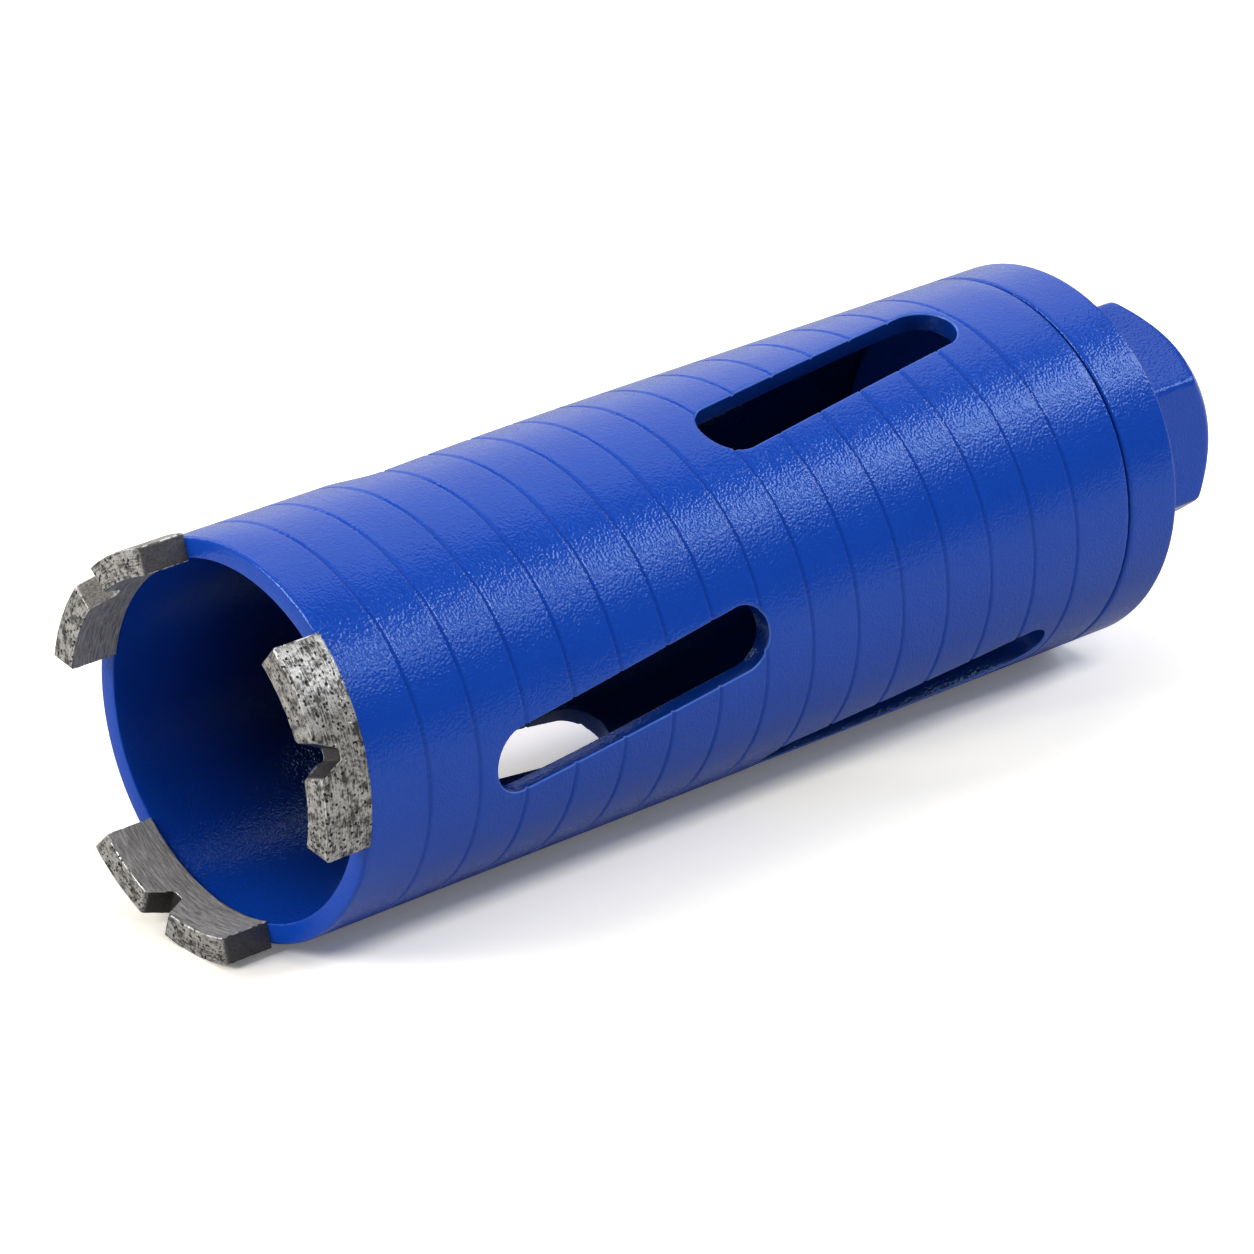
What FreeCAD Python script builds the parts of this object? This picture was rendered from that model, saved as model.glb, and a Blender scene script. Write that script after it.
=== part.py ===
import FreeCAD, Part
import math
import os

from FreeCAD import Vector

# Dry diamond core bit with a female threaded hexagon hub, in millimetres.
# The bit stands on its hub: z = 0 is the mouth of the thread, +Z runs along
# the axis to the cutting end. Angles are measured from +X towards +Y.

# Barrel
barrel_diameter = 51.0
barrel_wall = 2.65
barrel_length = 129.0
rim_chamfer = 0.5
joint_chamfer = 0.45

# End cap, a stepped disc that closes the tube and carries the hub
cap_rim_height = 9.0
cap_spigot_height = 4.0
cap_fit = 0.0
cap_edge_chamfer = 0.6

# Hexagon hub
hub_height = 20.0
hub_across_flats = 29.0
hub_end_diameter = 24.8
hub_corner_angle = 35.8
hub_spigot_diameter = 24.0
thread_minor_diameter = 18.63
thread_major_diameter = 20.96
thread_lead_in = 0.5

# Cutting segments
segment_count = 3
segment_height = 7.0
segment_thickness = 3.5
segment_stand_out = 0.5
segment_span = 61.0
segment_first_angle = 198.0
segment_seating = (1.5, 1.0, -3.5)
segment_corner_chamfer = 0.6
notch_mouth = 4.5
notch_floor = 1.4
notch_depth = 3.4
notch_offset = -1.5

# Dust slots, in two rings of slanted obrounds that climb with the spiral
slot_count = 3
slot_width = 8.7
slot_slant = 7.5
front_slot_length = 45.0
front_slot_setback = 42.6
front_slot_angle = 182.5
rear_slot_length = 48.0
rear_slot_setback = 92.6
rear_slot_angle = 255.0

# Spiral relief groove round the tube, a ramp and a steep wall in section
groove_pitch = 7.85
groove_setback = 4.6
groove_tail = 7.2
groove_start_angle = 38.0
groove_depth = 0.28
groove_ramp = 0.8
groove_wall = 0.3
groove_overcut = 0.4

shoulder_z = hub_height
joint_z = shoulder_z + cap_rim_height
rim_z = joint_z + barrel_length
tip_z = rim_z + segment_height
outer_radius = barrel_diameter / 2
bore_radius = outer_radius - barrel_wall
spigot_radius = hub_spigot_diameter / 2
thread_radius = thread_minor_diameter / 2
groove_turns = (barrel_length - groove_setback - groove_tail) / groove_pitch
segment_outer_radius = outer_radius + segment_stand_out
segment_inner_radius = segment_outer_radius - segment_thickness

axis = Vector(0, 0, 1)
origin = Vector(0, 0, 0)


def turned(profile):
    """Revolve a closed outline of (radius, z) points about the axis."""
    points = [Vector(r, 0, z) for r, z in profile]
    wire = Part.makePolygon(points + points[:1])
    return Part.Face(wire).revolve(origin, axis, 360)


def slot_cutter(length, setback, angle):
    """One obround end mill path, aimed at the axis through one wall."""
    half_run = (length - slot_width) / 2
    half_width = slot_width / 2
    corners = [Vector(0, y, z) for y, z in ((half_width, -half_run), (half_width, half_run),
                                            (-half_width, half_run), (-half_width, -half_run))]
    top = Part.Arc(corners[1], Vector(0, 0, half_run + half_width), corners[2])
    bottom = Part.Arc(corners[3], Vector(0, 0, -half_run - half_width), corners[0])
    sides = [Part.LineSegment(corners[0], corners[1]), Part.LineSegment(corners[2], corners[3])]
    wire = Part.Wire([sides[0].toShape(), top.toShape(), sides[1].toShape(), bottom.toShape()])
    cutter = Part.Face(wire).extrude(Vector(outer_radius + barrel_wall, 0, 0))
    cutter.rotate(origin, Vector(1, 0, 0), slot_slant)
    cutter.rotate(origin, axis, angle)
    cutter.translate(Vector(0, 0, rim_z - setback))
    return cutter


def slot_cutters():
    """Both rings of slots, each slot moved along by the lead of the spiral."""
    rings = ((front_slot_length, front_slot_setback, front_slot_angle),
             (rear_slot_length, rear_slot_setback, rear_slot_angle))
    step = 360 / slot_count
    cutters = []
    for length, setback, angle in rings:
        for index in range(slot_count):
            climb = groove_pitch * index / slot_count
            cutters.append(slot_cutter(length, setback + climb, angle - step * index))
    return cutters


def groove_cutter():
    """Saw-tooth section swept along a right-handed helix, from near the joint to near the rim."""
    rise = 1 + groove_overcut / groove_depth
    section = [Vector(outer_radius - groove_depth, 0, 0),
               Vector(outer_radius + groove_overcut, 0, -groove_wall * rise),
               Vector(outer_radius + groove_overcut, 0, groove_ramp * rise)]
    helix = Part.makeHelix(groove_pitch, groove_pitch * groove_turns, outer_radius)
    cutter = Part.Wire(helix.Edges).makePipeShell([Part.makePolygon(section + section[:1])], True, True)
    cutter.rotate(origin, axis, groove_start_angle - 360 * groove_turns)
    cutter.translate(Vector(0, 0, rim_z - groove_setback - groove_pitch * groove_turns))
    return cutter


def barrel_tube():
    outline = ((bore_radius, joint_z),
               (outer_radius - joint_chamfer, joint_z),
               (outer_radius, joint_z + joint_chamfer),
               (outer_radius, rim_z - rim_chamfer),
               (outer_radius - rim_chamfer, rim_z),
               (bore_radius, rim_z))
    return turned(outline).cut(groove_cutter()).cut(slot_cutters())


def end_cap():
    top_z = joint_z + cap_spigot_height
    fit_radius = bore_radius - cap_fit
    outline = ((spigot_radius, shoulder_z),
               (outer_radius - cap_edge_chamfer, shoulder_z),
               (outer_radius, shoulder_z + cap_edge_chamfer),
               (outer_radius, joint_z - joint_chamfer),
               (outer_radius - joint_chamfer, joint_z),
               (fit_radius, joint_z),
               (fit_radius, top_z),
               (spigot_radius, top_z))
    return turned(outline)


def hex_hub():
    corner_radius = hub_across_flats / 2 / math.cos(math.radians(30))
    end_radius = hub_end_diameter / 2
    mouth_radius = thread_major_diameter / 2 + thread_lead_in
    mouth_depth = mouth_radius - thread_radius
    spigot_top = joint_z + cap_spigot_height
    angles = [math.radians(hub_corner_angle + 60 * index) for index in range(6)]
    corners = [Vector(corner_radius * math.cos(a), corner_radius * math.sin(a), 0) for a in angles]
    prism = Part.Face(Part.makePolygon(corners + corners[:1])).extrude(Vector(0, 0, hub_height))
    blank = turned(((0, 0),
                    (end_radius, 0),
                    (corner_radius + 1, corner_radius + 1 - end_radius),
                    (corner_radius + 1, hub_height),
                    (0, hub_height)))
    spigot = Part.makeCylinder(spigot_radius, spigot_top - hub_height, Vector(0, 0, hub_height))
    bore = turned(((0, 0),
                   (mouth_radius, 0),
                   (thread_radius, mouth_depth),
                   (thread_radius, spigot_top),
                   (0, spigot_top)))
    return prism.common(blank).fuse(spigot).cut(bore).removeSplitter()


def notch_cutter():
    """Trapezoid notch across a segment that is centred on +X."""
    reach = segment_outer_radius + 1
    floor_z = tip_z - notch_depth
    above = 1.0
    flare = (notch_mouth - notch_floor) / 2 * above / notch_depth
    points = [Vector(0, y, z) for y, z in ((-notch_floor / 2, floor_z), (notch_floor / 2, floor_z),
                                           (notch_mouth / 2 + flare, tip_z + above),
                                           (-notch_mouth / 2 - flare, tip_z + above))]
    cutter = Part.Face(Part.makePolygon(points + points[:1])).extrude(Vector(reach, 0, 0))
    cutter.rotate(origin, axis, notch_offset)
    return cutter


def cutting_segment(index):
    """Sintered segment on the rim: an arc block with one notch and chamfered tip corners."""
    points = [Vector(r, 0, z) for r, z in ((segment_inner_radius, rim_z), (segment_outer_radius, rim_z),
                                           (segment_outer_radius, tip_z), (segment_inner_radius, tip_z))]
    block = Part.Face(Part.makePolygon(points + points[:1])).revolve(origin, axis, segment_span)
    ends = [edge for edge in block.Edges
            if edge.BoundBox.ZMin > tip_z - 0.01 and edge.Curve.TypeId == "Part::GeomLine"]
    block = block.makeChamfer(segment_corner_chamfer, ends)
    block.rotate(origin, axis, -segment_span / 2)
    block = block.cut(notch_cutter())
    seat = segment_first_angle + 360 / segment_count * index + segment_seating[index % len(segment_seating)]
    block.rotate(origin, axis, seat)
    return block


parts = {"barrel_tube": barrel_tube(), "end_cap": end_cap(), "hex_hub": hex_hub()}
for index in range(segment_count):
    parts[f"cutting_segment_{index + 1}"] = cutting_segment(index)

os.makedirs("parts", exist_ok=True)
for name, shape in parts.items():
    shape.exportStep(f"parts/{name}.step")
    print(name, len(shape.Solids), round(shape.Volume, 1), shape.isValid())
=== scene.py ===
import math

import bmesh
import bpy
from mathutils import Matrix, Quaternion, Vector, noise


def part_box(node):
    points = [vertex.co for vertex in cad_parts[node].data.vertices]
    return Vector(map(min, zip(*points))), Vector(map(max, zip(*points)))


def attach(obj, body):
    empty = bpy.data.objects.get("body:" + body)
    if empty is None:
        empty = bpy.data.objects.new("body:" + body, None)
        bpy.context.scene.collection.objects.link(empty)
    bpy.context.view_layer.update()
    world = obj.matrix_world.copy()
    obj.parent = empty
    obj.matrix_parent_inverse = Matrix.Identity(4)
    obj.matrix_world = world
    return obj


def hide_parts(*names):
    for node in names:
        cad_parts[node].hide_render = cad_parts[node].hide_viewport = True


# Dry diamond core bit: a blue powder-coated tube with a spiral relief groove and six dust slots,
# a stepped end cap, a tapped hexagon hub and three sintered diamond segments.
# Pieces are shaped in millimetres and brought to metres when they are finished.

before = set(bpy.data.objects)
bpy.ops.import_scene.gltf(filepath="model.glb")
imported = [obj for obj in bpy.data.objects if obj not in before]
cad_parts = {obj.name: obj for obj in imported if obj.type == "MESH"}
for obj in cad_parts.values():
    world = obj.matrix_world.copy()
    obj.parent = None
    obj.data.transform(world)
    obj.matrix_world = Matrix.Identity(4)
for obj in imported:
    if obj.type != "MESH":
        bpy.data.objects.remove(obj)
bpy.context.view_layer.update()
mm = 0.001
closeBy = 1e-3  # millimetres within which points count as one
tubeLow, tubeHigh = (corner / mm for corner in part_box("barrel_tube"))
capLow, capHigh = (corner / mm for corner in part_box("end_cap"))
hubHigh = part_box("hex_hub")[1] / mm
tubeRadius = tubeHigh.x
print("frame loaded")


def hexColor(code):
    values = [int(code[i:i + 2], 16) / 255 for i in (1, 3, 5)]
    linear = [v / 12.92 if v <= 0.04045 else ((v + 0.055) / 1.055) ** 2.4 for v in values]
    return (*linear, 1.0)


def perMm(size):
    return 1 / (size * mm)  # texture scale for a pattern of that size in millimetres


def smoothStep(low, high, value):
    t = min(1, max(0, (value - low) / (high - low)))
    return t * t * (3 - 2 * t)


def softMin(values, width):
    # smallest of the values, rounded over about the given width where two of them meet
    least = min(values)
    return least - width * math.log(sum(math.exp((least - v) / width) for v in values))


def addNode(tree, kind, inputs, **settings):
    node = tree.nodes.new(kind)
    for name, value in settings.items():
        setattr(node, name, value)
    for name, value in inputs.items():
        if isinstance(value, bpy.types.NodeSocket):
            tree.links.new(value, node.inputs[name])
        else:
            node.inputs[name].default_value = value
    return node


def addNoise(tree, place, size, detail, roughness=0.5):
    inputs = {"Vector": place, "Scale": perMm(size), "Detail": detail, "Roughness": roughness}
    return addNode(tree, "ShaderNodeTexNoise", inputs).outputs["Fac"]


def addBump(tree, height, distance, **inputs):
    inputs = {"Height": height, "Distance": distance * mm, **inputs}
    return addNode(tree, "ShaderNodeBump", inputs).outputs["Normal"]


def mixColors(tree, share, first, second):
    return addNode(tree, "ShaderNodeMix", {0: share, 6: first, 7: second}, data_type="RGBA").outputs[2]


def mapRange(tree, value, low, high, toLow=0.0, toHigh=1.0):
    inputs = {"Value": value, "From Min": low, "From Max": high, "To Min": toLow, "To Max": toHigh}
    return addNode(tree, "ShaderNodeMapRange", inputs).outputs["Result"]


def calculate(tree, operation, *values):
    return addNode(tree, "ShaderNodeMath", dict(enumerate(values)), operation=operation).outputs[0]


def readAttribute(tree, name):
    return addNode(tree, "ShaderNodeAttribute", {}, attribute_name=name).outputs["Fac"]


def newMaterial(name):
    material = bpy.data.materials.new(name)
    material.use_nodes = True
    tree = material.node_tree
    tree.nodes.clear()
    return material, tree


def addPrincipled(tree, inputs):
    shader = addNode(tree, "ShaderNodeBsdfPrincipled", inputs)
    addNode(tree, "ShaderNodeOutputMaterial", {"Surface": shader.outputs[0]})


def makePiece(bm, name, node, material):
    bmesh.ops.scale(bm, vec=(mm, mm, mm), verts=bm.verts)
    for face in bm.faces:
        face.smooth = True
    mesh = bpy.data.meshes.new(name)
    bm.to_mesh(mesh)
    bm.free()
    mesh.materials.append(material)
    piece = bpy.data.objects.new(name, mesh)
    bpy.context.scene.collection.objects.link(piece)
    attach(piece, "root")
    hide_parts(node)
    print(name, len(mesh.polygons), "faces")


def arcPoints(centre, radius, start, end, steps):
    angles = [math.radians(start + (end - start) * i / steps) for i in range(steps + 1)]
    return [(centre[0] + radius * math.cos(a), centre[1] + radius * math.sin(a)) for a in angles]


def faceOutward(bm):
    bm.normal_update()
    bmesh.ops.recalc_face_normals(bm, faces=bm.faces)
    bm.normal_update()


def spinProfile(bm, points, steps, closed):
    # points are (radius, z) pairs, turned once round the axis
    verts = [bm.verts.new((r, 0, z)) for r, z in points]
    pairs = list(zip(verts, verts[1:] + verts[:1])) if closed else list(zip(verts, verts[1:]))
    edges = [bm.edges.new(pair) for pair in pairs]
    bmesh.ops.spin(bm, geom=verts + edges, cent=(0, 0, 0), axis=(0, 0, 1), dvec=(0, 0, 0),
                   angle=math.tau, steps=steps, use_merge=True, use_duplicate=False)


# Polyester powder coat, sprayed and baked: an even blue with a satin gloss, whose fine orange peel
# breaks the highlights into sparkle; painted shade darkens it towards navy deep inside the tube and on
# the slot walls, and a painted highlight lightens it in a thin line along the slots' outer edges
paint = dict(blue="#0f4bbe", deepBlue="#0d45b4", paintedShadeBlue="#040a22", slotHighlight="#5c86ea", sheen="#dcf3ff",
             patch=9.0, patchDetail=2.0, peel=0.34, peelHeight=0.055, wave=1.1, waveHeight=0.02,
             bumpDetail=0.0, roughness=0.18, ior=1.5)


def powderCoat():
    material, tree = newMaterial("blue_powder_coat")
    place = addNode(tree, "ShaderNodeTexCoord", {}).outputs["Object"]
    patch = addNoise(tree, place, paint["patch"], paint["patchDetail"])
    coat = mixColors(tree, patch, hexColor(paint["deepBlue"]), hexColor(paint["blue"]))
    # painted shade: the paint darkens towards navy deep inside the tube and on the slot walls
    coat = mixColors(tree, readAttribute(tree, "paintedShade"), coat, hexColor(paint["paintedShadeBlue"]))
    # painted highlight: a lighter blue line along the slots' outer edges
    coat = mixColors(tree, readAttribute(tree, "slotHighlight"), coat, hexColor(paint["slotHighlight"]))
    wave = addNoise(tree, place, paint["wave"], paint["bumpDetail"])
    peel = addNoise(tree, place, paint["peel"], paint["bumpDetail"])
    bump = addBump(tree, wave, paint["waveHeight"])
    bump = addBump(tree, peel, paint["peelHeight"], Normal=bump)
    addPrincipled(tree, {"Base Color": coat, "Roughness": paint["roughness"], "IOR": paint["ior"],
                         "Specular Tint": hexColor(paint["sheen"]), "Normal": bump})
    return material


# Sintered metal with diamond grit, dressed on its outer face and tip: light ground metal pocked with
# dark pits, duller and brushed along the sweep on the inner and end faces
sinter = dict(light="#c4c0b9", mid="#4c4945", dark="#1c1b1a", brushed="#dedad4", brushedDark="#8e8a84",
              # then the dark skin-and-shade tone, and the white painted as glints on worn edges
              skinAndShade="#383532", wornGlint="#ffffff", grain=0.4, grainDetail=3.0, grainRoughness=0.6,
              mottle=1.5, detail=2.0, contrast=(0.3, 0.7), spread=(0.24, 0.4),
              pit=0.8, pitVary=0.7, pitShift=0.35, pitEdge=(0.22, 0.27),
              streak=0.2, streakShare=0.16, stretch=2.5, roughLow=0.24, roughHigh=0.46,
              bumpHeight=0.035, metalLow=0.2, metalHigh=0.45)


def sinteredMetal():
    material, tree = newMaterial("sintered_diamond_metal")
    place = addNode(tree, "ShaderNodeTexCoord", {}).outputs["Object"]
    finishAndGlint = addNode(tree, "ShaderNodeVertexColor", {}, layer_name="finishAndGlint").outputs["Color"]
    masks = addNode(tree, "ShaderNodeSeparateColor", {"Color": finishAndGlint}).outputs
    pits, dressed, wornGlint = masks["Red"], masks["Green"], masks["Blue"]
    grain = addNoise(tree, place, sinter["grain"], sinter["grainDetail"], sinter["grainRoughness"])
    mottle = addNoise(tree, place, sinter["mottle"], sinter["detail"])
    # streaks follow the sweep: noise drawn out along it, read in (radius, height)
    split = addNode(tree, "ShaderNodeSeparateXYZ", {"Vector": place}).outputs
    flat = addNode(tree, "ShaderNodeCombineXYZ", {"X": split["X"], "Y": split["Y"]}).outputs[0]
    radius = addNode(tree, "ShaderNodeVectorMath", {0: flat}, operation="LENGTH").outputs["Value"]
    sweep = calculate(tree, "ARCTAN2", split["Y"], split["X"])
    along = calculate(tree, "MULTIPLY", sweep, sinter["stretch"] * mm)
    rolled = addNode(tree, "ShaderNodeCombineXYZ", {"X": radius, "Y": along, "Z": split["Z"]}).outputs[0]
    streak = addNoise(tree, rolled, sinter["streak"], sinter["detail"])
    wear = mapRange(tree, streak, *sinter["contrast"])
    brushed = mixColors(tree, wear, hexColor(sinter["brushedDark"]), hexColor(sinter["brushed"]))
    blend = calculate(tree, "MULTIPLY", grain, mottle)
    blend = calculate(tree, "MULTIPLY_ADD", wear, sinter["streakShare"], blend)
    spread = mapRange(tree, blend, *sinter["spread"])
    ground = mixColors(tree, spread, hexColor(sinter["mid"]), hexColor(sinter["light"]))
    base = mixColors(tree, dressed, brushed, ground)
    # dark mould skin mixed with painted shade on the notches and ends
    base = mixColors(tree, readAttribute(tree, "skinAndShade"), base, hexColor(sinter["skinAndShade"]))
    # small pits where grit has broken out, their sizes varied by the grain
    cells = addNode(tree, "ShaderNodeTexVoronoi", {"Vector": place, "Scale": perMm(sinter["pit"])})
    away = calculate(tree, "MULTIPLY_ADD", grain, sinter["pitVary"], cells.outputs["Distance"])
    away = calculate(tree, "SUBTRACT", away, sinter["pitShift"])
    small = mapRange(tree, away, *sinter["pitEdge"], 1.0, 0.0)
    small = calculate(tree, "MULTIPLY", small, dressed)
    holes = calculate(tree, "MAXIMUM", pits, small)
    # painted highlight: worn edges painted near white in patches, as glints
    colour = mixColors(tree, wornGlint, base, hexColor(sinter["wornGlint"]))
    colour = mixColors(tree, holes, colour, hexColor(sinter["dark"]))
    rough = mapRange(tree, grain, *sinter["contrast"], sinter["roughHigh"], sinter["roughLow"])
    height = calculate(tree, "ADD", streak, grain)
    height = calculate(tree, "SUBTRACT", height, holes)
    metal = mapRange(tree, dressed, 0.0, 1.0, sinter["metalLow"], sinter["metalHigh"])
    addPrincipled(tree, {"Base Color": colour, "Metallic": metal, "Roughness": rough,
                         "Normal": addBump(tree, height, sinter["bumpHeight"])})
    return material


bluePaint = powderCoat()
segmentMetal = sinteredMetal()
print("materials made")


# Barrel tube, cut and bevelled as a flat pattern (x along the girth, outer face at y = 0), then rolled up
tube = dict(wall=2.65, columns=180, seamAngle=98.0, rimRound=0.5, jointRound=0.45, boreRound=0.2,
            roundSteps=4, foldAngle=1.0, slack=0.01, cutGap=1e-4, boreRow=4.0, firstBoreRow=1.0,
            # painted shade inside the tube and on the slot walls, then the painted highlight along the slot
            # edges
            shadeReach=26.0, shadeStrength=0.85, shadeOnWall=0.7, shadeEdge=0.1, shadeBore=0.3,
            slotHighlight=0.8, slotHighlightRise=(0, 0.08), slotHighlightFall=(0.12, 0.29), slotHighlightEnd=1,
            slotCount=3, slotWidth=8.7, slotSlant=7.5, slotRound=0.3, slotBorder=1.2, slotSteps=36,
            slotRings=((45.0, 42.6, 182.5), (48.0, 92.6, 255.0)),  # length, distance from the rim, angle
            slotOpening=(12, 22),  # degrees aside of a slot where its widening fades out
            groovePitch=7.85, grooveStart=4.6, grooveTail=7.2, grooveStartAngle=38.0, grooveDepth=0.27,
            grooveRamp=0.5, grooveFloor=0.1, grooveEase=0.02, grooveWall=0.34, grooveRunOut=0.09,
            grooveLines=(-0.75, -0.52, -0.44, -0.36, -0.28, -0.19, -0.1, -0.03, 0.03, 0.1, 0.18, 0.26,
                         0.36, 0.55),
            spareTurns=3)
girth = math.tau * tubeRadius
grooveTurns = (tubeHigh.z - tubeLow.z - tube["grooveStart"] - tube["grooveTail"]) / tube["groovePitch"]


def slotPlaces():
    places = []
    for length, setback, angle in tube["slotRings"]:
        for index in range(tube["slotCount"]):
            climb = tube["groovePitch"] * index / tube["slotCount"]
            turned = (angle - 360 * index / tube["slotCount"]) % 360
            places.append((length, tubeHigh.z - setback - climb, turned))
    return places


def grooveDepthAt(angle, z):
    startZ = tubeHigh.z - tube["grooveStart"]
    lineZ = startZ + tube["groovePitch"] * (angle - tube["grooveStartAngle"]) / 360
    turns = (z - lineZ) / tube["groovePitch"]
    across = (turns - round(turns)) * tube["groovePitch"]  # from the floor line, towards the rim
    gone = (startZ - z + across) / tube["groovePitch"]  # turns from the start
    runOut = tube["grooveRunOut"]
    fade = smoothStep(0, runOut, gone) * smoothStep(0, runOut, grooveTurns - gone)
    # a steep wall towards the rim and a ramp towards the hub, both eased at their lips
    ramp = smoothStep(-tube["grooveRamp"], tube["grooveFloor"], across)
    wall = 1 - smoothStep(-tube["grooveEase"], tube["grooveWall"], across)
    return tube["grooveDepth"] * min(wall, ramp) * fade


def flatPattern():
    bm = bmesh.new()
    corners = [bm.verts.new((x, 0, z)) for x, z in ((0, tubeLow.z), (girth, tubeLow.z),
                                                    (girth, tubeHigh.z), (0, tubeHigh.z))]
    outline = [bm.edges.new(pair) for pair in zip(corners, corners[1:] + corners[:1])]
    for length, z, angle in slotPlaces():
        halfRun = (length - tube["slotWidth"]) / 2
        x = math.radians((angle - tube["seamAngle"]) % 360) * tubeRadius
        halfStep = Matrix.Rotation(math.pi / tube["slotSteps"], 4, "Z")
        ring = bmesh.ops.create_circle(bm, cap_ends=True, segments=tube["slotSteps"],
                                       radius=tube["slotWidth"] / 2 + tube["slotBorder"],
                                       matrix=Matrix.Rotation(math.pi / 2, 4, "X") @ halfStep)["verts"]
        for vert in ring:
            vert.co.z += math.copysign(halfRun, vert.co.z)
        bmesh.ops.rotate(bm, cent=(0, 0, 0), verts=ring,
                         matrix=Matrix.Rotation(-math.radians(tube["slotSlant"]), 3, "Y"))
        bmesh.ops.translate(bm, vec=(x, 0, z), verts=ring)
        hole = ring[0].link_faces[0]
        hole.normal_update()
        border = bmesh.ops.inset_individual(bm, faces=[hole], thickness=tube["slotBorder"],
                                            use_even_offset=True)
        outline += [edge for face in border["faces"] for edge in face.edges if edge.is_boundary]
        bmesh.ops.delete(bm, geom=[hole], context="FACES_ONLY")
    filled = bmesh.ops.triangle_fill(bm, edges=outline, use_beauty=True, normal=(0, -1, 0))["geom"]
    diagonals = [e for e in filled if isinstance(e, bmesh.types.BMEdge) and e.is_valid and e not in outline]
    bmesh.ops.dissolve_limit(bm, angle_limit=0.01, edges=diagonals, verts=[], use_dissolve_boundaries=False)
    return bm


def thickenPattern(bm):
    grown = bmesh.ops.extrude_face_region(bm, geom=bm.faces[:])["geom"]
    moved = [vert for vert in grown if isinstance(vert, bmesh.types.BMVert)]
    bmesh.ops.translate(bm, vec=(0, tube["wall"], 0), verts=moved)
    faceOutward(bm)


def onPlane(edge, axis, value):
    return all(abs(v.co[axis] - value) < closeBy for v in edge.verts)


def roundEdges(bm):
    # each group of edges gets its own radius: slot edges outside and inside, rim, joint and bore
    ends = ((0, 0), (0, girth), (2, tubeLow.z), (2, tubeHigh.z))

    def isFold(edge):
        return len(edge.link_faces) == 2 and edge.calc_face_angle(0) > tube["foldAngle"]

    def atEnd(edge):
        return any(onPlane(edge, axis, value) for axis, value in ends)

    groups = ((tube["slotRound"], lambda e: onPlane(e, 1, 0) and not atEnd(e)),
              (tube["boreRound"], lambda e: onPlane(e, 1, tube["wall"]) and not atEnd(e)),
              (tube["rimRound"], lambda e: onPlane(e, 1, 0) and onPlane(e, 2, tubeHigh.z)),
              (tube["boreRound"], lambda e: onPlane(e, 1, tube["wall"]) and onPlane(e, 2, tubeHigh.z)),
              (tube["jointRound"], lambda e: onPlane(e, 1, 0) and onPlane(e, 2, tubeLow.z)))
    for radius, belongs in groups:
        edges = [edge for edge in bm.edges if isFold(edge) and belongs(edge)]
        bmesh.ops.bevel(bm, geom=edges, offset=radius, offset_type="OFFSET", segments=tube["roundSteps"],
                        profile=0.5, affect="EDGES", material=-1, clamp_overlap=True)


def cutAlong(bm, geom, point, normal):
    return bmesh.ops.bisect_plane(bm, geom=geom, dist=tube["cutGap"], plane_co=point, plane_no=normal)["geom"]


def facesWithEdges(faces):
    # each once and in a fixed order, so that every run gives the same mesh
    edges = list(dict.fromkeys(edge for face in faces for edge in face.edges))
    verts = list(dict.fromkeys(vert for face in faces for vert in face.verts))
    return verts + edges + list(faces)


def sliceForRolling(bm):
    # the outer face is cut along the groove's lines, the bore in rows, and both in columns
    pitch, slack = tube["groovePitch"], tube["slack"]
    outer = [f for f in bm.faces if all(v.co.y < tube["rimRound"] + slack for v in f.verts)]
    geom = facesWithEdges(outer)
    slope = Vector((-pitch, 0, girth)).normalized()
    firstZ = tubeHigh.z - tube["grooveStart"] + pitch * (tube["seamAngle"] - tube["grooveStartAngle"]) / 360
    for turn in range(-math.ceil(grooveTurns) - tube["spareTurns"], tube["spareTurns"]):
        for offset in tube["grooveLines"]:
            z = firstZ + turn * pitch + offset
            if tubeLow.z - pitch < z < tubeHigh.z:
                geom = cutAlong(bm, geom, (0, 0, z), slope)
    innerY = tube["wall"] - tube["boreRound"] - slack
    bore = [f for f in bm.faces if all(v.co.y > innerY for v in f.verts)]
    geom = facesWithEdges(bore)
    z = tubeHigh.z - tube["firstBoreRow"]
    while z > tubeLow.z:
        geom = cutAlong(bm, geom, (0, 0, z), (0, 0, 1))
        z -= tube["boreRow"]
    geom = bm.verts[:] + bm.edges[:] + bm.faces[:]
    for column in range(1, tube["columns"]):
        geom = cutAlong(bm, geom, (girth * column / tube["columns"], 0, 0), (1, 0, 0))


# painted shade: darker with depth into the tube, on the slot walls and over the bore
def paintedShadeAt(y, z):
    deep = smoothStep(0, tube["shadeReach"], tubeHigh.z - z)
    onWall = smoothStep(tube["shadeEdge"], tube["slotRound"], y)
    inBore = smoothStep(tube["wall"] - tube["shadeBore"], tube["wall"], y)
    return tube["shadeStrength"] * deep * max(tube["shadeOnWall"] * onWall, inBore)


# painted highlight: a lighter line over the rounds of the slots' outer edges, kept clear of the tube's ends
def slotHighlightAt(y, z):
    if not tubeLow.z + tube["slotHighlightEnd"] < z < tubeHigh.z - tube["slotHighlightEnd"]:
        return 0
    return tube["slotHighlight"] * (smoothStep(*tube["slotHighlightRise"], y) * (1 - smoothStep(*tube["slotHighlightFall"], y)))


def openedAngle(angle, radius, slotAngles):
    # a milled slot has parallel sides, so it is wider in angle at the bore
    nearest = min(slotAngles, key=lambda a: abs((angle - a + 180) % 360 - 180))
    aside = (angle - nearest + 180) % 360 - 180
    if abs(aside) >= tube["slotOpening"][1]:
        return angle
    opened = math.degrees(math.asin(math.sin(math.radians(aside)) * (tubeRadius / radius)))
    return angle + (opened - aside) * (1 - smoothStep(*tube["slotOpening"], abs(aside)))


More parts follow.
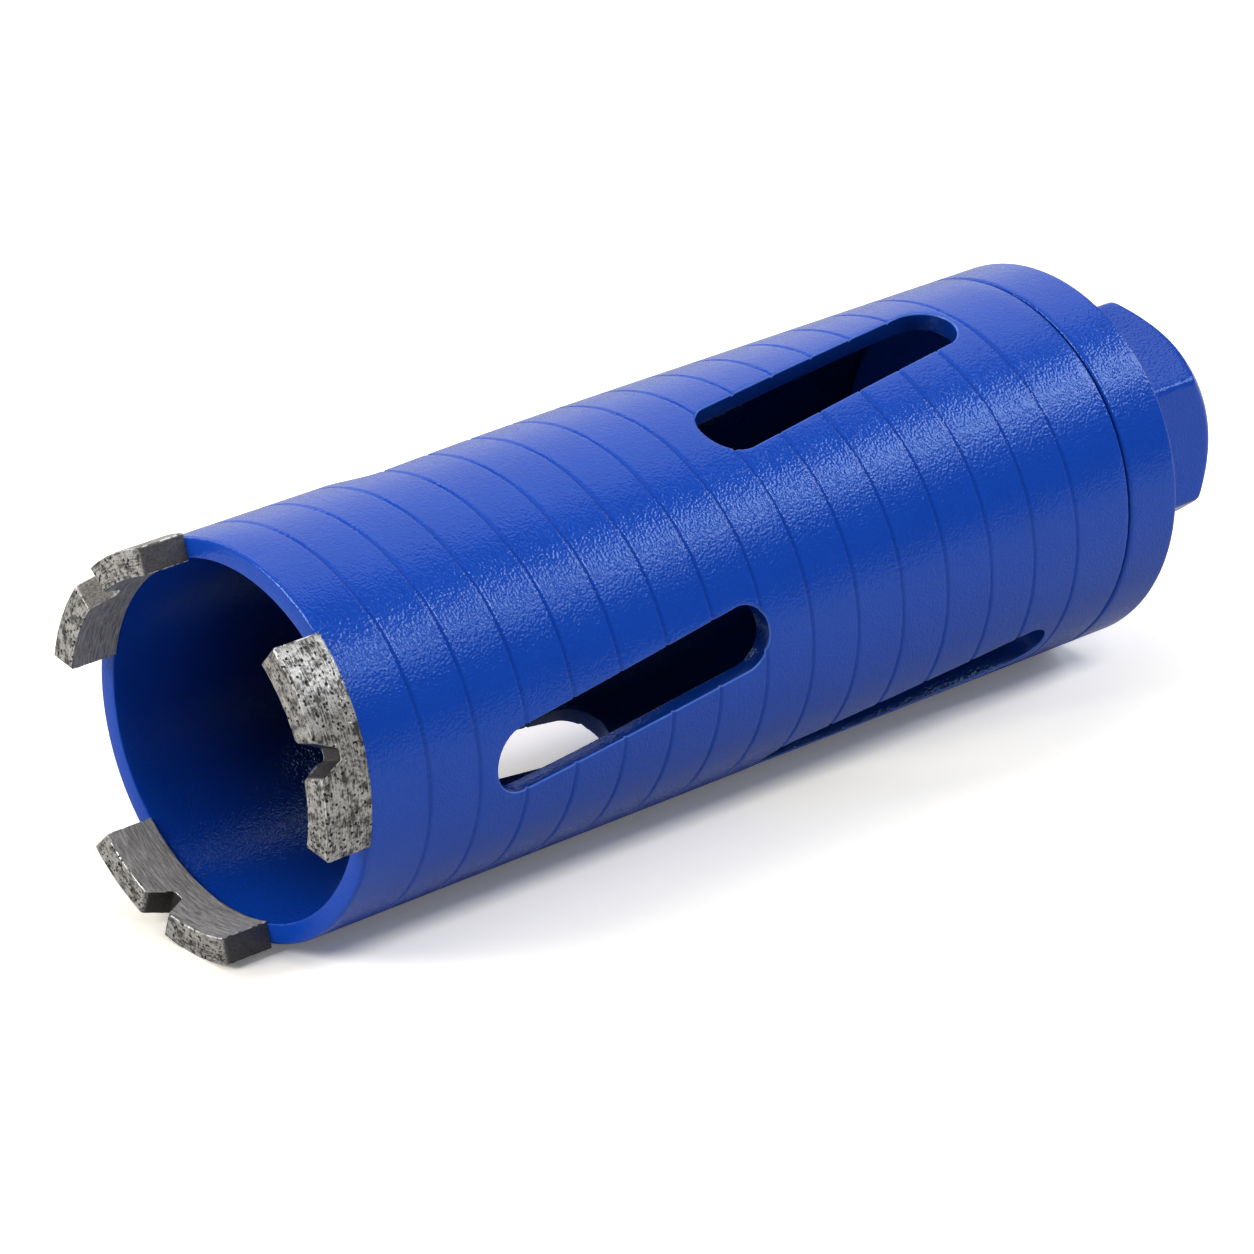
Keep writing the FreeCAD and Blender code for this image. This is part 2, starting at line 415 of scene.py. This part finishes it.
def rollUp(bm):
    ends = [f for f in bm.faces
            if any(all(abs(v.co.x - x) < closeBy for v in f.verts) for x in (0, girth))]
    bmesh.ops.delete(bm, geom=ends, context="FACES")
    slotAngles = [angle for _, _, angle in slotPlaces()]
    for name in ("paintedShade", "slotHighlight"):
        bm.verts.layers.float.new(name)
    paintedShade, slotHighlight = (bm.verts.layers.float[name] for name in ("paintedShade", "slotHighlight"))
    for vert in bm.verts:
        vert[paintedShade] = paintedShadeAt(vert.co.y, vert.co.z)
        vert[slotHighlight] = slotHighlightAt(vert.co.y, vert.co.z)
        angle = tube["seamAngle"] + math.degrees(vert.co.x / tubeRadius)
        radius = tubeRadius - vert.co.y
        if vert.co.y < tube["wall"] / 2:
            radius = min(radius, tubeRadius) - grooveDepthAt(angle, vert.co.z)
        turned = math.radians(openedAngle(angle, radius, slotAngles))
        vert.co = Vector((radius * math.cos(turned), radius * math.sin(turned), vert.co.z))
    bmesh.ops.remove_doubles(bm, verts=bm.verts, dist=closeBy)


def barrelTube():
    bm = flatPattern()
    print("flat pattern", len(bm.faces), "faces")
    thickenPattern(bm)
    roundEdges(bm)
    print("edges rounded", len(bm.faces), "faces")
    sliceForRolling(bm)
    print("sliced", len(bm.faces), "faces")
    rollUp(bm)
    makePiece(bm, "grooved_tube", "barrel_tube", bluePaint)


barrelTube()


# End cap: a turned disc with a rounded shoulder, a relieved joint and a spigot inside the tube
cap = dict(boreRadius=12.0, shoulderRound=0.6, jointRound=0.45, jointGap=0.3, spigotRadius=22.85,
           spigotRound=0.3, shoulderRow=4, outerRow=0.5, spigotRow=0.3, topRow=1, steps=180,
           shoulderSteps=5, jointSteps=4, spigotSteps=3)


def endCap():
    # the rows beside each round keep the flat faces' shading flat
    bm = bmesh.new()
    low, top, joint = capLow.z, capHigh.z, tubeLow.z - cap["jointGap"]
    outer, big, small = tubeRadius, cap["shoulderRound"], cap["jointRound"]
    spigot, turn, bore = cap["spigotRadius"], cap["spigotRound"], cap["boreRadius"]
    beside, near = cap["outerRow"], cap["spigotRow"]
    points = [(bore, low), (outer - big - cap["shoulderRow"], low), (outer - big - beside, low)]
    points += arcPoints((outer - big, low + big), big, -90, 0, cap["shoulderSteps"])
    points += [(outer, low + big + beside), (outer, joint - small - beside)]
    points += arcPoints((outer - small, joint - small), small, 0, 90, cap["jointSteps"])
    points += [(spigot + near, joint), (spigot, joint), (spigot, joint + near), (spigot, top - turn - near)]
    points += arcPoints((spigot - turn, top - turn), turn, 0, 90, cap["spigotSteps"])
    points += [(spigot - cap["topRow"], top), (bore + beside, top), (bore, top)]
    spinProfile(bm, points, cap["steps"], True)
    faceOutward(bm)
    makePiece(bm, "end_disc", "end_cap", bluePaint)


endCap()


# Hexagon hub: bar stock turned at its end, with a G 1/2 pipe thread of 55 degree form cut through it
hub = dict(acrossFlats=29.0, cornerAngle=35.8, endRadius=12.4, height=20.0, spigotRadius=12.0,
           edgeWidth=0.28, nearFlat=75, turnedBeyond=1.5, coneRows=40, sideRows=8, steps=600,
           mouthRadius=10.98, mouthRows=(0.15, 0.6), endRow=0.15, flatsFrom=0.2, slack=0.01,
           spigotChamfer=0.3, boreRow=0.5,
           threadMinor=9.315, threadMajor=10.48, threadPitch=1.814, threadRows=14, threadSteps=120,
           threadTail=3.5)


def hexRadius(angle, turnedRadius):
    # distance from the axis to the nearer of the six flats and the turned end, edges softened
    asides = [(angle - hub["cornerAngle"] - 30 + 180 - 60 * i) % 360 - 180 for i in range(6)]
    flats = [hub["acrossFlats"] / 2 / math.cos(math.radians(d)) for d in asides if abs(d) < hub["nearFlat"]]
    return softMin(flats + [turnedRadius], hub["edgeWidth"])


def threadBore(bm, top):
    # a plain bore in fine rows, whose points then move out to the thread's rounded 55 degree form
    pitch, minor, depth = hub["threadPitch"], hub["threadMinor"], hub["threadMajor"] - hub["threadMinor"]
    rows = math.ceil(top / pitch * hub["threadRows"])
    points = [(minor, top * row / rows) for row in range(rows + 1)]
    spinProfile(bm, points, hub["threadSteps"], False)
    for vert in bm.verts:
        turned = math.atan2(vert.co.y, vert.co.x) / math.tau
        form = smoothStep(0, 1, abs((vert.co.z / pitch - turned) % 1 - 0.5) * 2)
        fade = 1 - smoothStep(top - hub["threadTail"], top - hub["threadTail"] / 2, vert.co.z)
        wanted = max(minor + depth * form * fade, hub["mouthRadius"] - vert.co.z)
        vert.co.x *= wanted / minor
        vert.co.y *= wanted / minor


def hexShell(bm, top):
    # the outside starts as a turned shape, whose points are then drawn in to the six flats
    shoulder, endRadius, spigot = hub["height"], hub["endRadius"], hub["spigotRadius"]
    far = hub["acrossFlats"] / 2 / math.cos(math.radians(30)) + hub["turnedBeyond"]
    rise = far - endRadius
    cone, side = hub["coneRows"], hub["sideRows"]
    points = [(hub["mouthRadius"] + row, 0) for row in hub["mouthRows"]] + [(endRadius - hub["endRow"], 0)]
    points += [(endRadius + rise * i / cone, rise * i / cone) for i in range(cone + 1)]
    points += [(far, rise + (shoulder - rise) * i / side) for i in range(1, side + 1)]
    points += [(spigot, shoulder), (spigot, top - hub["spigotChamfer"]), (spigot - hub["spigotChamfer"], top),
               (hub["threadMinor"] + hub["boreRow"], top)]
    spinProfile(bm, points, hub["steps"], False)
    for vert in bm.verts:
        radius = math.hypot(vert.co.x, vert.co.y)
        if radius > endRadius - hub["flatsFrom"] and vert.co.z < shoulder + hub["slack"]:
            angle = math.degrees(math.atan2(vert.co.y, vert.co.x))
            wanted = hexRadius(angle, radius)
            vert.co.x *= wanted / radius
            vert.co.y *= wanted / radius


def hexHub():
    top = hubHigh.z
    bm = bmesh.new()
    threadBore(bm, top)
    hexShell(bm, top)
    # flat rings join the bore to the shell at both ends
    edges = [edge for edge in bm.edges if edge.is_boundary]
    for z, up in ((0, -1), (top, 1)):
        loops = [edge for edge in edges if onPlane(edge, 2, z)]
        bmesh.ops.triangle_fill(bm, edges=loops, use_beauty=True, normal=(0, 0, up))
    print("hub closed, open edges left:", sum(edge.is_boundary for edge in bm.edges))
    faceOutward(bm)
    makePiece(bm, "tapped_hexagon", "hex_hub", bluePaint)


hexHub()


# Cutting segments: arc blocks pressed and sintered from metal and diamond grit, dressed on the outside
segment = dict(count=3, firstAngle=198.0, seating=(1.5, 1.0, -3.5), span=61.0, height=7.0, thickness=3.5,
               standOut=0.5, cornerRound=((1.2, 0.6), (0.8, 0.8), (0.7, 0.7)),
               notchMouth=4.5, notchFloor=1.4, notchDepth=3.4, notchOffset=-1.5, notchRound=0.16,
               columns=(84, 16, 8, 16, 76), rows=42, layers=20,
               edgeRound=0.22, edgeWear=0.1, wearStretch=0.8, wearSeed=31,
               # painted highlight: worn edges brightened to near white in patches
               wornGlint=0.9, wornGlintReach=0.4, wornGlintPatch=(-0.2, 0.1), wornGlintScale=1.3, wornGlintSeed=57,
               pitCell=1.3, pitRadius=0.3, pitDepth=0.13, pitStretch=1.5, pitSize=(0.8, 0.6), pitJump=7.3,
               pitRagged=0.1, raggedScale=4, pitFloor=0.45, pitUndressed=0.25, pitSeed=17,
               roughHeight=0.04, roughSize=0.7, roughForm=(0.6, 2.0, 3), roughSeed=9, footReach=0.4,
               dressedSkin=(0.35, 0.1), dressedCut=(0.05, 0.6),
               # dark mould skin and painted shade on the notches, set per segment, and on the ends
               notchSkinAndShade=(1.0, 0.35, 1.0), notchRim=(0.3, 0.1), notchCut=(0.15, 0.5),
               endSkinAndShade=0.85, endReach=(0.05, 0.3))


def notchLines(radius):
    # angles of the two ends and the four notch corners
    def turn(offset):
        return segment["notchOffset"] + math.degrees(math.asin(offset / radius))
    half = segment["span"] / 2
    mouth, floor = segment["notchMouth"] / 2, segment["notchFloor"] / 2
    return (-half, turn(-mouth), turn(-floor), turn(floor), turn(mouth), half)


def alongSegment(share, radius):
    # share 0..1 of all columns to (angle, depth of the notch), the columns set to the notch's corners
    column = share * sum(segment["columns"])
    lines = notchLines(radius)
    for index, width in enumerate(segment["columns"]):
        if column <= width or index == len(segment["columns"]) - 1:
            angle = lines[index] + (lines[index + 1] - lines[index]) * column / width
            break
        column -= width
    aside = abs(radius * math.sin(math.radians(angle - segment["notchOffset"])))
    mouth, floor, depth = segment["notchMouth"] / 2, segment["notchFloor"] / 2, segment["notchDepth"]
    slope = depth * (mouth - aside) / (mouth - floor)
    return angle, softMin((-softMin((0, -slope), segment["notchRound"]), depth), segment["notchRound"])


def pitAt(place, seed):
    stretched = Vector((place[0] / segment["pitStretch"], place[1], place[2]))
    spot = stretched / segment["pitCell"] + Vector((seed, 0, 0))
    distances, points = noise.voronoi(spot)
    usual, vary = segment["pitSize"]
    size = usual + vary * noise.noise(points[0] * segment["pitJump"])
    size = segment["pitRadius"] / segment["pitCell"] * size
    ragged = segment["pitRagged"] * noise.noise(spot * segment["raggedScale"])
    return 1 - smoothStep(size * segment["pitFloor"], size, distances[0] + ragged)


def segmentGrid():
    # a unit cube in the segment's columns, layers and rows
    bm = bmesh.new()
    bmesh.ops.create_cube(bm, size=1.0, matrix=Matrix.Translation((0.5, 0.5, 0.5)))
    cuts = (sum(segment["columns"]) - 1, segment["layers"] - 1, segment["rows"] - 1)
    for axis in range(3):
        edges = [e for e in bm.edges if abs(e.verts[0].co[axis] - e.verts[1].co[axis]) > 0.5]
        bmesh.ops.subdivide_edges(bm, edges=edges, cuts=cuts[axis], use_grid_fill=True)
    return bm


def roundedFrom(core, at, radius):
    lean = at - core
    return core + lean.normalized() * radius if lean.length > radius else at


def wornPoint(at, size, index):
    # the tip's corners are round, wear eases all edges unevenly, and the foot stays square on the rim
    corner = segment["cornerRound"][index][0 if at.x < size.x / 2 else 1]
    core = Vector((min(max(at.x, corner), size.x - corner), at.y, min(at.z, size.z - corner)))
    at = roundedFrom(core, at, corner)
    shifted = Vector((at.x * segment["wearStretch"] + segment["wearSeed"] * index, at.y, at.z))
    ease = segment["edgeRound"] + segment["edgeWear"] * noise.noise(shifted)
    core = Vector((min(max(at.x, ease), size.x - ease), min(max(at.y, ease), size.y - ease),
                   min(at.z, size.z - ease)))
    # edges are worn bright in patches, and painted near white there as a glint: wear with a painted highlight
    onEdge = sorted(abs(part) for part in at - core)[1] > segment["wornGlintReach"] * ease
    shifted = at * segment["wornGlintScale"] + Vector((segment["wornGlintSeed"] * index, 0, 0))
    wornGlint = segment["wornGlint"] if onEdge else 0
    wornGlint *= smoothStep(*segment["wornGlintPatch"], noise.noise(shifted))
    return roundedFrom(core, at, ease), wornGlint


def nearFace(skin, face, at):
    # rises from 0 to 1 through the skin below a face
    return smoothStep(face - skin[0], face - skin[1], at)


def cuttingSegment(index):
    bm = segmentGrid()
    outerRadius = tubeRadius + segment["standOut"]
    length = math.radians(segment["span"]) * outerRadius
    size = Vector((length, segment["thickness"], segment["height"]))
    seat = segment["firstAngle"] + 360 / segment["count"] * index + segment["seating"][index]
    for name in ("sink", "skinAndShade"):
        bm.verts.layers.float.new(name)
    finishAndGlint = bm.verts.layers.float_color.new("finishAndGlint")
    sinks, skinAndShadeLayer = (bm.verts.layers.float[name] for name in ("sink", "skinAndShade"))
    for vert in bm.verts:
        at, wornGlint = wornPoint(Vector([c * s for c, s in zip(vert.co, size)]), size, index)
        radius = outerRadius - segment["thickness"] + at.y
        angle, cut = alongSegment(at.x / size.x, radius)
        height = at.z * (1 - cut / segment["height"])
        spot = Vector((math.radians(angle) * outerRadius, radius, height))
        atFoot = smoothStep(0, segment["footReach"], at.z)
        atTip = nearFace(segment["dressedSkin"], size.z, at.z) * (1 - smoothStep(*segment["dressedCut"], cut))
        dressed = max(nearFace(segment["dressedSkin"], segment["thickness"], at.y), atTip)
        pit = pitAt(spot, segment["pitSeed"] * index)
        pit *= segment["pitUndressed"] + (1 - segment["pitUndressed"]) * dressed
        shifted = spot / segment["roughSize"] + Vector((index * segment["roughSeed"], 0, 0))
        rough = noise.fractal(shifted, *segment["roughForm"]) * 0.5 + 0.5
        sink = (pit * segment["pitDepth"] + min(1, max(0, rough)) * segment["roughHeight"]) * atFoot
        # the notch and the ends are darkened: dark skin from the mould, with painted shade on top, strongest
        # on the notches of the segments that lie in shade
        inNotch = nearFace(segment["notchRim"], size.z, at.z) * smoothStep(*segment["notchCut"], cut)
        atEnds = 1 - smoothStep(*segment["endReach"], min(at.x, size.x - at.x))
        vert[skinAndShadeLayer] = max(segment["notchSkinAndShade"][index] * inNotch, segment["endSkinAndShade"] * atEnds) * (1 - wornGlint)
        vert[finishAndGlint] = (pit, dressed, wornGlint * atFoot, 1)
        turned = math.radians(seat + angle)
        vert.co = Vector((radius * math.cos(turned), radius * math.sin(turned), tubeHigh.z + height))
        vert[sinks] = sink
    faceOutward(bm)
    moves = [vert.normal * -vert[sinks] for vert in bm.verts]
    for vert, move in zip(bm.verts, moves):
        vert.co += move
    bm.verts.layers.float.remove(sinks)
    name = f"diamond_segment_{index + 1}"
    makePiece(bm, name, f"cutting_segment_{index + 1}", segmentMetal)


for index in range(segment["count"]):
    cuttingSegment(index)


# Studio: the photograph looks at the bit lying down, so its floor is a wall beside the standing model
studio = dict(floorSize=6.0, floorRim=26.0, floorJoint=25.5, floorColor="#c4c4c4", floorSeen="#fffaee",
              floorGain=1.42, floorLift=0.12, worldColor="#ffffff", worldLight=0.1,
              cameraAt=(-0.5454, -0.3212, 0.5920), cameraRight=(-0.67439, 0.0, -0.73840),
              cameraUp=(0.29750, -0.91530, -0.27174), lens=183.62, sensor=36, aim=(0, 0, 0.085))

# Lamps: name, direction from the aim, distance, size, power, colour, roll
lamps = (("key", (-0.421, -0.603, -0.678), 1.5, (0.24, 1.4), 3.0, "#dcebff", 45),
         ("keyLow", (-0.345, -0.614, -0.71), 1.45, (0.2, 0.5), 1.3, "#dcebff", 45),
         ("backdrop", (0.63, -0.475, -0.615), 1.1, (2.0, 0.8), 4.3, "#ffffff", 0),
         ("back", (0.85, -0.5, 0.15), 1.2, (0.8, 0.8), 3.4, "#ffffff", 0),
         ("overhead", (0.1, -0.95, 0.3), 1.1, (0.8, 0.8), 1.2, "#ffffff", 0),
         ("upper", (0.5, -0.85, -0.15), 1.1, (0.4, 0.25), 1.1, "#ffffff", 0),
         ("front", (0.22, -0.47, 0.85), 1.2, (0.6, 0.4), 8.5, "#ffffff", 0),
         ("fill", (-0.6, -0.79, -0.09), 1.2, (0.3, 0.6), 5.8, "#ffffff", 0),
         ("edge", (-0.2, -0.4, -0.89), 1.2, (0.3, 0.3), 1.4, "#ffffff", 0))


def orient(obj, right, up, place):
    back = Vector(right).cross(Vector(up))
    obj.matrix_world = Matrix.Translation(place) @ Matrix((right, up, back)).transposed().to_4x4()


def addCamera():
    camera = bpy.data.objects.new("camera", bpy.data.cameras.new("camera"))
    camera.data.sensor_width = studio["sensor"]
    camera.data.lens = studio["lens"]
    bpy.context.scene.collection.objects.link(camera)
    orient(camera, studio["cameraRight"], studio["cameraUp"], studio["cameraAt"])
    bpy.context.scene.camera = camera


def floorMaterial():
    # matt white board, brighter where the camera sees it, and clear from behind
    material, tree = newMaterial("white_board")
    seenByCamera = addNode(tree, "ShaderNodeLightPath", {}).outputs["Is Camera Ray"]
    seen = [studio["floorGain"] * part for part in hexColor(studio["floorSeen"])]
    tone = mixColors(tree, seenByCamera, hexColor(studio["floorColor"]), seen)
    matt = addNode(tree, "ShaderNodeBsdfDiffuse", {"Color": tone})
    lift = calculate(tree, "MULTIPLY", seenByCamera, studio["floorLift"])
    glow = addNode(tree, "ShaderNodeEmission", {"Strength": lift})
    board = addNode(tree, "ShaderNodeAddShader", {0: matt.outputs[0], 1: glow.outputs[0]})
    clear = addNode(tree, "ShaderNodeBsdfTransparent", {})
    facing = addNode(tree, "ShaderNodeNewGeometry", {}).outputs["Backfacing"]
    side = addNode(tree, "ShaderNodeMixShader", {0: facing, 1: board.outputs[0], 2: clear.outputs[0]})
    addNode(tree, "ShaderNodeOutputMaterial", {"Surface": side.outputs[0]})
    return material


def addFloor():
    bm = bmesh.new()
    bmesh.ops.create_grid(bm, x_segments=1, y_segments=1, size=studio["floorSize"] / 2)
    mesh = bpy.data.meshes.new("floor")
    bm.to_mesh(mesh)
    bm.free()
    mesh.materials.append(floorMaterial())
    floor = bpy.data.objects.new("floor", mesh)
    bpy.context.scene.collection.objects.link(floor)
    # it touches a segment in front and the cap behind
    run = (capLow.z - tubeHigh.z) * mm
    tilt = math.atan2((studio["floorRim"] - studio["floorJoint"]) * mm, -run)
    up = Vector((0, -math.cos(tilt), -math.sin(tilt)))
    right = Vector((1, 0, 0))
    orient(floor, right, up.cross(right), (0, studio["floorRim"] * mm, tubeHigh.z * mm))


def addLight(name, toward, distance, size, power, color, roll):
    light = bpy.data.objects.new(name, bpy.data.lights.new(name, "AREA"))
    light.data.shape = "RECTANGLE"
    light.data.size, light.data.size_y = size
    light.data.energy = power
    light.data.color = hexColor(color)[:3]
    aim = Vector(studio["aim"])
    light.location = aim + Vector(toward).normalized() * distance
    light.rotation_mode = "QUATERNION"
    turn = Quaternion((0, 0, 1), math.radians(roll))
    light.rotation_quaternion = (aim - light.location).to_track_quat("-Z", "Y") @ turn
    bpy.context.scene.collection.objects.link(light)


def addWorld():
    world = bpy.data.worlds.new("studio")
    world.use_nodes = True
    tree = world.node_tree
    tree.nodes.clear()
    seenByCamera = addNode(tree, "ShaderNodeLightPath", {}).outputs["Is Camera Ray"]
    shade = mapRange(tree, seenByCamera, 0.0, 1.0, studio["worldLight"], 1.0)
    sky = addNode(tree, "ShaderNodeBackground", {"Color": hexColor(studio["worldColor"]), "Strength": shade})
    addNode(tree, "ShaderNodeOutputWorld", {"Surface": sky.outputs[0]})
    bpy.context.scene.world = world


addCamera()
addFloor()
addWorld()
for lamp in lamps:
    addLight(*lamp)
bpy.context.scene.view_settings.view_transform = "Standard"
print("studio lit")
